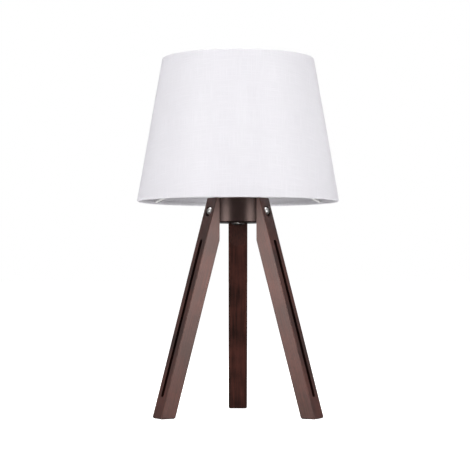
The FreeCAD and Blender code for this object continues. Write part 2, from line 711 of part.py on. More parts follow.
def make_fitter_arms():
    """Three steel wires, each level at the ring and bent down to the bottom wire."""
    body = new_body("fitter_arms", FIRST_ARM_AZIMUTH)
    level = f"({RING_UNDERSIDE} + ring_thick / 2)"
    start = Vector(value("ring_outer / 2"), value(level), 0)
    corner = Vector(value("ring_outer / 2 + arm_level"), value(level), 0)
    wire = Vector(value(BOTTOM_WIRE[0]), value(BOTTOM_WIRE[1]), 0)
    slope = (wire - corner).normalize()
    end = wire - slope * value("wire_dia / 2")
    bend = value("arm_bend")
    setback = bend * math.tan(slope.getAngle(Vector(1, 0, 0)) / 2)
    bend_start = corner - Vector(setback, 0, 0)
    bend_end = corner + slope * setback

    path = new_sketch(body, "Path", "XZ_Plane")
    path.addGeometry(Part.LineSegment(start, bend_start), False)
    path.addGeometry(arc_between(bend_start, bend_end, bend, -1), False)
    path.addGeometry(Part.LineSegment(bend_end, end), False)
    hold(path, "DistanceX", "ring_outer / 2", -1, 1, 0, 1)
    hold(path, "DistanceY", level, -1, 1, 0, 1)
    path.addConstraint(Sketcher.Constraint("Horizontal", 0))
    path.addConstraint(Sketcher.Constraint("Tangent", 0, 2, 1, 2))
    path.addConstraint(Sketcher.Constraint("Tangent", 1, 1, 2, 1))
    hold(path, "Radius", "arm_bend", 1)
    run = f"({BOTTOM_WIRE[0]} - ring_outer / 2 - arm_level)"
    drop = f"({level} - {BOTTOM_WIRE[1]})"
    share = f"(wire_dia / 2 / sqrt({run} ^ 2 + {drop} ^ 2))"
    hold(path, "DistanceX", f"{BOTTOM_WIRE[0]} - {run} * {share}", -1, 1, 2, 2)
    hold(path, "DistanceY", f"{BOTTOM_WIRE[1]} + {drop} * {share}", -1, 1, 2, 2)

    section = new_sketch(body, "Section", "YZ_Plane", up=level, out="ring_outer / 2")
    draw_circle(section, "arm_dia")
    doc.recompute()
    arm = body.newObject("PartDesign::AdditivePipe", "Arm")
    arm.Profile = section
    arm.Spine = (path, ["Edge1", "Edge2", "Edge3"])
    repeat_round(body, [arm], 3)
    return body


# ---------------------------------------------------------------- bulb
CAP_LOW = f"({BULB_BASE} + bulb_tip_high + insulator_high - insulator_taper)"
CAP_HIGH = f"({CAP_LOW} + bulb_cap_high)"
JOINT_RADIUS = "sqrt(globe_dia ^ 2 / 4 - joint_drop ^ 2)"


def make_bulb_tip():
    """Solder contact at the end of the cap."""
    body, _ = turned_piece("bulb_tip", [
        ("0", BULB_BASE), ("bulb_tip_dia / 2 - bulb_tip_high", BULB_BASE),
        ("bulb_tip_dia / 2", f"{BULB_BASE} + bulb_tip_high"), ("0", f"{BULB_BASE} + bulb_tip_high"),
    ])
    return body


def make_bulb_insulator():
    """Black glass cone between the tip and the cap."""
    low = f"{BULB_BASE} + bulb_tip_high"
    wide = "(bulb_cap_dia / 2 - bulb_cap_wall - cap_roll / 2 - insulator_gap)"
    corners = [
        ("0", low), ("bulb_tip_dia / 2 + insulator_taper", low),
        (f"{wide} - insulator_taper", f"{low} + insulator_high - insulator_taper"),
        (wide, f"{low} + insulator_high"), ("0", f"{low} + insulator_high"),
    ]
    return turned_piece("bulb_insulator", corners)


def make_bulb_cap():
    """Plated screw cap, rolled in round the insulator at its lower edge."""
    outer = "bulb_cap_dia / 2"
    inner = f"{outer} - bulb_cap_wall"
    corners = [
        (f"{inner} - cap_roll", CAP_LOW), (f"{outer} - cap_roll", CAP_LOW),
        (outer, f"{CAP_LOW} + 2 * cap_roll"), (outer, CAP_HIGH),
        (inner, CAP_HIGH), (inner, f"{CAP_LOW} + 2 * cap_roll"),
    ]
    return turned_piece("bulb_cap", corners)


def make_bulb_housing():
    """Moulded neck that flares from the cap to the globe and seats the board."""
    spigot = "(bulb_cap_dia / 2 - bulb_cap_wall - fit_gap)"
    rim = f"({JOINT_RADIUS} - housing_wall)"
    ledge = f"({JOINT_HEIGHT} - board_thick - fit_gap)"
    neck = "neck_dia / 2"
    corners = [
        (f"{spigot} - housing_wall", f"{CAP_LOW} + bulb_cap_high / 2"),
        (spigot, f"{CAP_LOW} + bulb_cap_high / 2"),
        (spigot, CAP_HIGH), (neck, CAP_HIGH), (neck, f"{CAP_HIGH} + neck_high"),
        (JOINT_RADIUS, JOINT_HEIGHT), (rim, JOINT_HEIGHT), (rim, ledge), (f"{rim} - housing_ledge", ledge),
        (f"{spigot} - housing_wall", f"{CAP_HIGH} + neck_high"),
    ]
    return turned_piece("bulb_housing", corners, {4: ("housing_flare", -1)})


def make_bulb_board():
    """Round light board on the housing's ledge, closed in by the globe."""
    low = f"{JOINT_HEIGHT} - board_thick - fit_gap"
    high = f"{JOINT_HEIGHT} - fit_gap"
    corners = tube_corners("0", f"{JOINT_RADIUS} - housing_wall - fit_gap", low, high)
    return turned_piece("bulb_board", corners)


def make_bulb_globe():
    """Opal globe: a thin spherical shell, open where it seats on the housing."""
    outer = "globe_dia / 2"
    inner = f"({outer} - globe_wall)"
    inner_joint = f"sqrt({inner} ^ 2 - joint_drop ^ 2)"
    corners = [
        (JOINT_RADIUS, JOINT_HEIGHT), (outer, GLOBE_CENTRE), ("0", f"{GLOBE_CENTRE} + {outer}"),
        ("0", f"{GLOBE_CENTRE} + {inner}"), (inner, GLOBE_CENTRE), (inner_joint, JOINT_HEIGHT),
    ]
    arcs = {0: (outer, 1), 1: (outer, 1), 3: (inner, -1), 4: (inner, -1)}
    return turned_piece("bulb_globe", corners, arcs)


# ---------------------------------------------------------------- build
make_hub()
for leg_name, leg_azimuth in LEG_AZIMUTHS.items():
    make_leg(leg_name, leg_azimuth)
make_foot_pads()
make_leg_bolts()
make_bolt_inserts()
make_leg_dowels()
make_threaded_tube()
make_lock_washer()
make_tube_nut()
make_cord_bush()
make_holder_cap()
make_grub_screw()
make_holder_sleeve()
make_holder_core()
make_screw_shell()
make_centre_contact()
make_terminal_screws()
make_collar("collar_lower", barrel_up=False)
make_collar("collar_upper", barrel_up=True)
make_shade_cover()
make_shade_liner()
make_edge_wire("shade_wire_bottom", BOTTOM_WIRE)
make_edge_wire("shade_wire_top", TOP_WIRE)
make_fitter_ring()
make_fitter_arms()
make_bulb_tip()
make_bulb_insulator()
make_bulb_cap()
make_bulb_housing()
make_bulb_board()
make_bulb_globe()
doc.recompute()

for made in doc.Objects:
    if "Invalid" in made.State or "Error" in made.State:
        raise RuntimeError(f"{made.Name} failed to build: {made.State}")

pieces = [made for made in doc.Objects if made.TypeId == "PartDesign::Body"]
for piece in pieces:
    if piece.Shape.isNull() or not piece.Shape.isValid():
        raise RuntimeError(f"{piece.Label} has no valid shape")

os.makedirs("parts", exist_ok=True)
for piece in pieces:
    piece.Shape.exportStep(f"parts/{piece.Label}.step")
    box = piece.Shape.BoundBox
    print(f"{piece.Label}: {len(piece.Shape.Solids)} solids, {piece.Shape.Volume:.0f} mm3, "
          f"z {box.ZMin:.1f} to {box.ZMax:.1f}")
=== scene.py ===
"""Tripod table lamp: white hardback shade on a dark turned hub with three bolted legs.

The sections follow the lamp as it is put together, from the floor it stands on to
the bulb. Lengths are in metres, +Z is up and the front of the lamp looks along -Y.
"""

import math

import bmesh
import bpy
from mathutils import Matrix, Vector


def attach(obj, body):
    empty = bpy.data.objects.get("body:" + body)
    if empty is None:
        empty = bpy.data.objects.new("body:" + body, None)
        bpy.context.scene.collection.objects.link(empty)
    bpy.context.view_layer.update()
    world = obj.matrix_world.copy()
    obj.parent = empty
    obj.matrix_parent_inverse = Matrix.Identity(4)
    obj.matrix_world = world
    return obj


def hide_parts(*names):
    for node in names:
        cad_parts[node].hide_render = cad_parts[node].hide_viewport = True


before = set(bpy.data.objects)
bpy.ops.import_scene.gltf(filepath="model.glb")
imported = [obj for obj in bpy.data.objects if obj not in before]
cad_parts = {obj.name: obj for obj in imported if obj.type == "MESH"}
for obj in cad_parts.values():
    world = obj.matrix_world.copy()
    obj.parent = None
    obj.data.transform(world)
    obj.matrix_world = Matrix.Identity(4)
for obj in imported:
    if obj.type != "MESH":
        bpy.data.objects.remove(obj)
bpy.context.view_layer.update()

# ---------------------------------------------------------------- camera
# A long lens a little over two metres away, level with the middle of the legs
# and tipped up a degree and a half, as a catalogue picture of a lamp is taken.
camera_data = bpy.data.cameras.new("camera")
camera_data.lens = 120.8
camera_data.sensor_width = 36.0
camera_data.clip_end = 80.0
camera = bpy.data.objects.new("camera", camera_data)
camera.location = (-0.0039, -2.05, 0.179)
camera.rotation_euler = (math.radians(90 + 1.518), 0.0, 0.0)
bpy.context.scene.collection.objects.link(camera)
bpy.context.scene.camera = camera


# ---------------------------------------------------------------- studio
# A white paper sweep under the lamp, two tall soft boxes at the front quarters,
# and a soft box overhead that lights the inside of the shade.
def linear(hex_colour):
    """A colour from a paint chart, as the linear values that light is mixed in."""
    channels = [int(hex_colour[i:i + 2], 16) / 255 for i in (1, 3, 5)]
    return tuple(c / 12.92 if c <= 0.04045 else ((c + 0.055) / 1.055) ** 2.4 for c in channels) + (1.0,)


def new_material(name):
    """An empty material, named for what the real one is."""
    material = bpy.data.materials.new(name)
    material.use_nodes = True
    material.node_tree.nodes.clear()
    return material


def add(material, kind, settings=None, links=None):
    """A node with its settings and the outputs that feed it."""
    node = material.node_tree.nodes.new(kind)
    for name, setting in (settings or {}).items():
        if isinstance(name, str) and hasattr(node, name):
            setattr(node, name, setting)
        else:
            node.inputs[name].default_value = setting
    for name, source in (links or {}).items():
        material.node_tree.links.new(source, node.inputs[name])
    return node


PAPER_WHITE = "#F4F4F2"
SWEEP_GLOW = 0.95
SWEEP_REACH = 50.0

paper = new_material("matt_white_paper")
paper_face = add(paper, "ShaderNodeBsdfPrincipled", {
    "Base Color": linear(PAPER_WHITE), "Roughness": 0.9, "Specular IOR Level": 0.1,
    "Emission Color": linear("#FFFFFF"), "Emission Strength": SWEEP_GLOW,
})
add(paper, "ShaderNodeOutputMaterial", links={"Surface": paper_face.outputs["BSDF"]})

sweep_mesh = bpy.data.meshes.new("paper_sweep")
sweep_corners = [(-SWEEP_REACH, -SWEEP_REACH, 0), (SWEEP_REACH, -SWEEP_REACH, 0),
                 (SWEEP_REACH, SWEEP_REACH, 0), (-SWEEP_REACH, SWEEP_REACH, 0)]
sweep_mesh.from_pydata(sweep_corners, [], [(0, 1, 2, 3)])
sweep_mesh.materials.append(paper)
sweep = bpy.data.objects.new("paper_sweep", sweep_mesh)
# The paper shows to the camera alone. The room below stands in for the light off it.
sweep.visible_glossy = False
sweep.visible_diffuse = False
bpy.context.scene.collection.objects.link(sweep)

# The backdrop is white. The room lights the lamp brightly from below, as white
# paper does, and dimly from above. What the lacquer mirrors of the room is the
# other way up, nearly black below and grey above.
world = bpy.data.worlds.new("studio")
world.use_nodes = True
world.node_tree.nodes.clear()
path = add(world, "ShaderNodeLightPath")
direction = add(world, "ShaderNodeTexCoord").outputs["Generated"]
facing = add(world, "ShaderNodeSeparateXYZ", links={"Vector": direction})
room_light = add(world, "ShaderNodeMapRange",
                 {"From Min": -0.25, "From Max": 0.10, "To Min": 1.55, "To Max": 0.20},
                 {"Value": facing.outputs["Z"]})
room = add(world, "ShaderNodeBackground", {"Color": linear("#F6F5F6")}, {"Strength": room_light.outputs[0]})
backdrop = add(world, "ShaderNodeBackground", {"Color": linear("#FFFFFF"), "Strength": 1.0})
room_shine = add(world, "ShaderNodeMapRange",
                 {"From Min": -0.45, "From Max": -0.10, "To Min": 0.06, "To Max": 0.34},
                 {"Value": facing.outputs["Z"]})
mirrored = add(world, "ShaderNodeBackground", {"Color": linear("#F6F5F6")},
               {"Strength": room_shine.outputs[0]})
lit_by = add(world, "ShaderNodeMixShader",
             links={0: path.outputs["Is Glossy Ray"], 1: room.outputs[0], 2: mirrored.outputs[0]})
seen = add(world, "ShaderNodeMixShader",
           links={0: path.outputs["Is Camera Ray"], 1: lit_by.outputs[0], 2: backdrop.outputs[0]})
add(world, "ShaderNodeOutputWorld", links={"Surface": seen.outputs[0]})
bpy.context.scene.world = world
bpy.context.scene.view_settings.view_transform = "Standard"

SOFT_BOXES = [
    # name, place, aim, width, height, watts
    ("soft_box_left", (-1.11, -0.90, 0.62), (0, 0, 0.28), 0.75, 1.3, 17.5),
    ("soft_box_right", (1.11, -0.90, 0.62), (0, 0, 0.28), 0.75, 1.3, 17.5),
    ("soft_box_top", (0, 0.1, 1.75), (0, 0, 0.40), 1.0, 1.0, 20.0),
]
for name, place, aim, width, height, watts in SOFT_BOXES:
    box_data = bpy.data.lights.new(name, "AREA")
    box_data.shape = "RECTANGLE"
    box_data.size = width
    box_data.size_y = height
    box_data.energy = watts
    soft_box = bpy.data.objects.new(name, box_data)
    soft_box.location = place
    soft_box.rotation_euler = (Vector(aim) - Vector(place)).to_track_quat("-Z", "Y").to_euler()
    bpy.context.scene.collection.objects.link(soft_box)

# ---------------------------------------------------------------- hub
# A drum turned from solid beech, bored up the middle, stained a dark reddish
# brown and sprayed with a satin lacquer. Its grain runs level, across the lamp.
STAIN_DARK = "#1F0D09"
STAIN_LIGHT = "#4A231B"
PORE = "#140705"


def stained_beech(name, along, soak_and_shade=0.0):
    """Beech under a dark stain. The fibres give it fine straight streaks along one
    axis, the rays give short dark flecks, and the satin lacquer, which has sunk a
    little between the fibres, gives broad soft highlights, warmed by the fibres
    under it. The last argument says how far the dark pore colour hides the grain:
    stain soaked into end grain on the hub, painted shade on the walls of the flute
    and of the counterbore."""
    material = new_material(name)
    # Streaks are 1.2 mm apart and 50 mm long, and flecks 0.9 mm by 4 mm. Real beech
    # fibres are far finer than that, and too fine to show.
    streak_size, fleck_size, patch_size = (0.0012, 0.050), (0.0009, 0.004), 0.040
    streaks = [1 / streak_size[axis == along] for axis in range(3)]
    flecks = [1 / fleck_size[axis == along] for axis in range(3)]
    place = add(material, "ShaderNodeTexCoord").outputs["Object"]
    streak_place = add(material, "ShaderNodeMapping", {"Scale": streaks}, {"Vector": place})
    fleck_place = add(material, "ShaderNodeMapping", {"Scale": flecks}, {"Vector": place})
    streak = add(material, "ShaderNodeTexNoise", {"Scale": 1.0, "Detail": 3.0, "Roughness": 0.6},
                 {"Vector": streak_place.outputs[0]})
    fleck = add(material, "ShaderNodeTexNoise", {"Scale": 1.0, "Detail": 1.0, "Roughness": 0.5},
                {"Vector": fleck_place.outputs[0]})
    patch = add(material, "ShaderNodeTexNoise", {"Scale": 1 / patch_size, "Detail": 2.0, "Roughness": 0.5},
                {"Vector": place})
    fine = add(material, "ShaderNodeMath", {"operation": "MULTIPLY", 1: 0.55}, {0: streak.outputs[0]})
    uptake = add(material, "ShaderNodeMath", {"operation": "MULTIPLY_ADD", 1: 0.45},
                 {0: patch.outputs[0], 2: fine.outputs[0]})
    tone = add(material, "ShaderNodeValToRGB", {}, {"Fac": uptake.outputs[0]})
    tone.color_ramp.elements[0].position = 0.39
    tone.color_ramp.elements[0].color = linear(STAIN_DARK)
    tone.color_ramp.elements[1].position = 0.61
    tone.color_ramp.elements[1].color = linear(STAIN_LIGHT)
    # Where the last argument is high the pores' dark colour covers the grain: soaked stain on the hub,
    # painted shade in the cuts.
    fleck_mask = add(material, "ShaderNodeMapRange",
                     {"From Min": 0.60, "From Max": 0.72, "To Min": soak_and_shade, "To Max": max(soak_and_shade, 0.55)},
                     {"Value": fleck.outputs[0]})
    colour = add(material, "ShaderNodeMix", {"data_type": "RGBA", 7: linear(PORE)},
                 {0: fleck_mask.outputs[0], 6: tone.outputs["Color"]})
    shine = add(material, "ShaderNodeMapRange", {"To Min": 0.28, "To Max": 0.40},
                {"Value": streak.outputs[0]})
    relief = add(material, "ShaderNodeBump", {"Strength": 0.35, "Distance": 0.00015},
                 {"Height": streak.outputs[0]})
    face = add(material, "ShaderNodeBsdfPrincipled",
               {"IOR": 1.5, "Specular IOR Level": 0.70, "Specular Tint": linear("#FFDCD4")},
               {"Base Color": colour.outputs[2], "Roughness": shine.outputs[0], "Normal": relief.outputs[0]})
    add(material, "ShaderNodeOutputMaterial", links={"Surface": face.outputs["BSDF"]})
    return material


def finish_node(node, material):
    """Give one of the lamp's solids its finish."""
    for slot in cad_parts[node].material_slots:
        slot.material = material


# The drum's turned side is half end grain, so it drinks the stain and shows no figure.
finish_node("hub", stained_beech("stained_beech_across", along=0, soak_and_shade=1.0))

# ---------------------------------------------------------------- legs
# Three boards of the same beech, 25 mm wide, each planed to a leaning outer face
# with a stopped flute down it, and sanded so that every arris is a little soft.
SPLAY = math.radians(15.85)
FOOT_RADIUS = 0.118
LEGS = {"leg_rear": 90, "leg_front_left": 210, "leg_front_right": 330}
ARRIS = 0.0005
# Edges of a face larger than this, in square metres, stay crisp next to the arris.
BROAD_FACE = 0.001
# The leg's seat against the hub, the reach of its outer face at its top, and its top.
SEAT_RADIUS, LEG_TOP_REACH, LEG_TOP = 0.0344, 0.0388, 0.281
HUB_RADIUS, HUB_UNDERSIDE = 0.036, 0.249
# The scoop is cut by a drum of the hub's size that reaches this far below it.
SCOOP_REACH, SCOOP_SIDES = 0.060, 240
FLUTE_WIDTH, FLUTE_DEPTH = 0.0067, 0.0055
BOLT_LEVEL, COUNTERBORE = 0.2634, 0.014
# A face belongs to a cut when it lies CUT_STARTS or more under the outer face and no
# more than CUT_MARGIN past the cut's walls. The seat itself is left out.
CUT_STARTS, CUT_MARGIN, SEAT_MARGIN = 0.0003, 0.0001, 0.001
# Each leg takes its grain from this much further along the wood than the last one.
NEXT_BOARD = Vector((0.11, 0.07, 0.4))


def eased_copy(node, name, radius, turn=None, start=None):
    """A solid's own shape, with its flat faces whole again and its edges eased.
    turn is the place of the piece's own axes, along which its grain runs, and start
    is a mesh to begin from in place of the solid's."""
    turn = turn or Matrix.Identity(4)
    shape = bmesh.new()
    shape.from_mesh(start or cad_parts[node].data)
    shape.transform(turn.inverted())
    bmesh.ops.remove_doubles(shape, verts=shape.verts, dist=1e-6)
    bmesh.ops.dissolve_limit(shape, angle_limit=math.radians(0.5), verts=shape.verts, edges=shape.edges)

    def folded(degrees):
        return [edge for edge in shape.edges
                if edge.is_manifold and edge.calc_face_angle() > math.radians(degrees)]

    for edge in folded(8):
        if max(face.calc_area() for face in edge.link_faces) > BROAD_FACE:
            edge.smooth = False
    bmesh.ops.bevel(shape, geom=folded(30), offset=radius, segments=2, profile=0.5,
                    affect="EDGES", clamp_overlap=True)
    bmesh.ops.triangulate(shape, faces=[face for face in shape.faces if len(face.verts) > 4])
    for face in shape.faces:
        face.smooth = True
    for edge in folded(50):
        edge.smooth = False
    mesh = bpy.data.meshes.new(name)
    shape.to_mesh(mesh)
    shape.free()
    if "custom_normal" in mesh.attributes:
        mesh.attributes.remove(mesh.attributes["custom_normal"])
    piece = bpy.data.objects.new(name, mesh)
    piece.matrix_world = turn
    bpy.context.scene.collection.objects.link(piece)
    flat = piece.modifiers.new("flat_faces", "WEIGHTED_NORMAL")
    flat.keep_sharp = True
    return piece


def dress(piece, material):
    """Give a piece made here its one finish."""
    piece.data.materials.clear()
    piece.data.materials.append(material)


def paint_shade_in_cuts(leg, out):
    """Give the walls of the flute and of the bolt's counterbore the second finish, a darker beech that is
    painted shade where these recesses fall in shadow.
    """
    for face in leg.data.polygons:
        centre = leg.matrix_world @ face.center
        level = centre.z
        reach_out = out.dot(centre)
        across = Vector((-out.y, out.x, 0)).dot(centre)
        depth = (LEG_TOP_REACH + (LEG_TOP - level) * math.tan(SPLAY) - reach_out) * math.cos(SPLAY)
        in_flute = abs(across) < FLUTE_WIDTH / 2 + CUT_MARGIN and depth < FLUTE_DEPTH + CUT_MARGIN
        from_bolt = math.hypot(across, level - BOLT_LEVEL)
        in_counterbore = from_bolt < COUNTERBORE / 2 + CUT_MARGIN and reach_out > SEAT_RADIUS + SEAT_MARGIN
        face.material_index = 1 if depth > CUT_STARTS and (in_flute or in_counterbore) else 0


def scooped(node):
    """A leg's shape with its upright seat scooped to the hub's curve, where it comes
    out below the hub."""
    solid = bpy.data.objects.new("scooped_" + node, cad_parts[node].data.copy())
    shape = bmesh.new()
    bmesh.ops.create_cone(shape, cap_ends=True, segments=SCOOP_SIDES, depth=SCOOP_REACH,
                          radius1=HUB_RADIUS, radius2=HUB_RADIUS,
                          matrix=Matrix.Translation((0, 0, HUB_UNDERSIDE - SCOOP_REACH / 2)))
    drum_mesh = bpy.data.meshes.new("scoop_" + node)
    shape.to_mesh(drum_mesh)
    shape.free()
    drum = bpy.data.objects.new("scoop_" + node, drum_mesh)
    for piece in (solid, drum):
        bpy.context.scene.collection.objects.link(piece)
    cut = solid.modifiers.new("scoop", "BOOLEAN")
    cut.operation, cut.solver, cut.object = "DIFFERENCE", "EXACT", drum
    cut_solid = solid.evaluated_get(bpy.context.evaluated_depsgraph_get())
    mesh = bpy.data.meshes.new_from_object(cut_solid)
    for piece in (solid, drum):
        bpy.data.objects.remove(piece)
    return mesh


leg_wood = stained_beech("stained_beech_lengthways", along=2)
# A darker copy of the beech for the walls of the flute and counterbore: painted shade, where these recesses
# fall in shadow.
shaded_cut_wood = stained_beech("stained_beech_with_painted_shade_in_the_cuts", along=2, soak_and_shade=0.8)
for count, (node, azimuth) in enumerate(LEGS.items()):
    out = Vector((math.cos(math.radians(azimuth)), math.sin(math.radians(azimuth)), 0))
    up = Vector((0, 0, 1))
    outer_face = out * math.cos(SPLAY) + up * math.sin(SPLAY)
    length = up * math.cos(SPLAY) - out * math.sin(SPLAY)
    axes = Matrix((outer_face, up.cross(out), length)).transposed().to_4x4()
    # Each leg has its own place in the board, so that no two have the same grain.
    board = Matrix.Translation(out * FOOT_RADIUS) @ axes @ Matrix.Translation(NEXT_BOARD * count)
    leg = eased_copy(node, node + "_board", ARRIS, board, start=scooped(node))
    dress(leg, leg_wood)
    leg.data.materials.append(shaded_cut_wood)
    paint_shade_in_cuts(leg, out)
    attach(leg, "stand")
    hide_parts(node)

# ---------------------------------------------------------------- feet
# A pad of pressed brown-black felt, 1.2 mm thick, is stuck under each foot, a
# millimetre inside its edges, so that the cut ends don't mark the table.
felt = new_material("pressed_wool_felt")
felt_place = add(felt, "ShaderNodeTexCoord").outputs["Object"]
# Matted wool has no weave, only clumps of hair about half a millimetre across.
felt_hair = add(felt, "ShaderNodeTexNoise", {"Scale": 1 / 0.0005, "Detail": 4.0, "Roughness": 0.7},
                {"Vector": felt_place})
felt_tone = add(felt, "ShaderNodeMix", {"data_type": "RGBA", 6: linear("#1C1614"), 7: linear("#3A302B")},
                {0: felt_hair.outputs[0]})
felt_relief = add(felt, "ShaderNodeBump", {"Strength": 0.8, "Distance": 0.0002},
                  {"Height": felt_hair.outputs[0]})
felt_face = add(felt, "ShaderNodeBsdfPrincipled",
                {"Roughness": 0.95, "Sheen Weight": 0.3, "Sheen Roughness": 0.6},
                {"Base Color": felt_tone.outputs[2], "Normal": felt_relief.outputs[0]})
add(felt, "ShaderNodeOutputMaterial", links={"Surface": felt_face.outputs["BSDF"]})

PAD_EDGE = 0.00035
pads = eased_copy("foot_pads", "felt_pads", PAD_EDGE)
dress(pads, felt)
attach(pads, "stand")
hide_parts("foot_pads")

# ---------------------------------------------------------------- leg bolts
# Each leg is pulled against the hub by a button-head bolt, bright zinc plated,
# that runs level into a cast insert. A beech dowel stops the leg turning on the bolt.


def plated_metal(name, colour, roughness, grain, depth):
    """Metal with a thin bright plating. The grain is the fine scatter that barrel
    plating or drawing leaves, and it breaks up the highlight a little."""
    material = new_material(name)
    place = add(material, "ShaderNodeTexCoord").outputs["Object"]
    scatter = add(material, "ShaderNodeTexNoise", {"Scale": 1 / grain, "Detail": 3.0, "Roughness": 0.6},
                  {"Vector": place})
    # The plating clouds over in patches about 4 mm across.
    cloud = add(material, "ShaderNodeTexNoise", {"Scale": 1 / 0.004, "Detail": 2.0, "Roughness": 0.5},
                {"Vector": place})
    dull = [channel * 0.82 for channel in linear(colour)[:3]] + [1.0]
    tone = add(material, "ShaderNodeMix", {"data_type": "RGBA", 6: dull, 7: linear(colour)},
               {0: cloud.outputs[0]})
    shine = add(material, "ShaderNodeMapRange", {"To Min": roughness - 0.06, "To Max": roughness + 0.10},
                {"Value": cloud.outputs[0]})
    relief = add(material, "ShaderNodeBump", {"Strength": 0.3, "Distance": depth},
                 {"Height": scatter.outputs[0]})
    face = add(material, "ShaderNodeBsdfPrincipled", {"Metallic": 1.0},
               {"Base Color": tone.outputs[2], "Roughness": shine.outputs[0], "Normal": relief.outputs[0]})
    add(material, "ShaderNodeOutputMaterial", links={"Surface": face.outputs["BSDF"]})
    return material


bright_zinc = plated_metal("bright_zinc_plated_steel", "#EDEDEB", 0.30, grain=0.0003, depth=0.00002)
finish_node("leg_bolts", bright_zinc)
finish_node("bolt_inserts", plated_metal("cast_zinc_alloy", "#A9A9A4", 0.42, grain=0.0004, depth=0.00005))

# Bare beech is pale, with browner flecks a little over a millimetre across.
bare_beech = new_material("bare_beech")
beech_place = add(bare_beech, "ShaderNodeTexCoord").outputs["Object"]
beech_ray = add(bare_beech, "ShaderNodeTexNoise", {"Scale": 1 / 0.0012, "Detail": 3.0, "Roughness": 0.6},
                {"Vector": beech_place})
beech_tone = add(bare_beech, "ShaderNodeMix",
                 {"data_type": "RGBA", 6: linear("#C79F72"), 7: linear("#DDBD92")},
                 {0: beech_ray.outputs[0]})
beech_face = add(bare_beech, "ShaderNodeBsdfPrincipled", {"Roughness": 0.65},
                 {"Base Color": beech_tone.outputs[2]})
add(bare_beech, "ShaderNodeOutputMaterial", links={"Surface": beech_face.outputs["BSDF"]})
finish_node("leg_dowels", bare_beech)

# ---------------------------------------------------------------- tube, washer, nut and bush
# A threaded steel tube runs up through the hub. A washer and a hexagon nut in the
# hub's recess hold it, and a black bush in its lower end guards the cord's way in.
dull_zinc = plated_metal("dull_zinc_plated_steel", "#B9BBBB", 0.34, grain=0.0003, depth=0.00003)
for node in ("threaded_tube", "tube_washer", "cap_grub_screw"):
    finish_node(node, dull_zinc)

NUT_EDGE = 0.0004
tube_nut = eased_copy("tube_nut", "hexagon_nut", NUT_EDGE)
dress(tube_nut, bright_zinc)
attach(tube_nut, "stand")
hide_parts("tube_nut")


def moulded_plastic(name, colour, roughness, texture=0.0006):
    """Moulded plastic, one colour right through. The mould leaves a very fine
    spark-eroded texture, and handling leaves patches a little shinier than others."""
    material = new_material(name)
    place = add(material, "ShaderNodeTexCoord").outputs["Object"]
    erosion = add(material, "ShaderNodeTexNoise", {"Scale": 1 / texture, "Detail": 2.0, "Roughness": 0.5},
                  {"Vector": place})
    # A fingertip leaves a patch about 15 mm across.
    handled = add(material, "ShaderNodeTexNoise", {"Scale": 1 / 0.015, "Detail": 2.0, "Roughness": 0.5},
                  {"Vector": place})
    shine = add(material, "ShaderNodeMapRange", {"To Min": roughness - 0.07, "To Max": roughness + 0.07},
                {"Value": handled.outputs[0]})
    shade = [channel * 0.94 for channel in linear(colour)[:3]] + [1.0]
    tone = add(material, "ShaderNodeMix", {"data_type": "RGBA", 6: shade, 7: linear(colour)},
               {0: handled.outputs[0]})
    relief = add(material, "ShaderNodeBump", {"Strength": 0.25, "Distance": 0.00004},
                 {"Height": erosion.outputs[0]})
    face = add(material, "ShaderNodeBsdfPrincipled", {"IOR": 1.53},
               {"Base Color": tone.outputs[2], "Roughness": shine.outputs[0], "Normal": relief.outputs[0]})
    add(material, "ShaderNodeOutputMaterial", links={"Surface": face.outputs["BSDF"]})
    return material


finish_node("cord_bush", moulded_plastic("moulded_black_nylon", "#1A1A1B", 0.42))

# ---------------------------------------------------------------- lampholder
# A white moulded cap is screwed on the tube and locked by a grub screw. The sleeve
# above it has a coarse moulded thread for the shade's collars, and holds a glazed
# ceramic core with the brass shell and the contact that the bulb screws down to.
white_thermoset = moulded_plastic("moulded_white_thermoset", "#E9E8E4", 0.32)
finish_node("holder_cap", white_thermoset)

# Radii are from the lamp's axis, and levels from the table. The lead-in bevels the
# outer edge at the top, and mouth_edge the inner one.
HOLDER_SLEEVE = {
    "crest": 0.0196, "root": 0.0188, "bottom": 0.305, "top": 0.341, "pitch": 0.0025,
    "thread_from": 0.3055, "thread_to": 0.3395, "lead_in": 0.0006,
    "spigot": 0.01825, "spigot_low": 0.298, "bore": 0.01625,
    "mouth": 0.0155, "mouth_edge": 0.0004, "lip": 0.338,
}


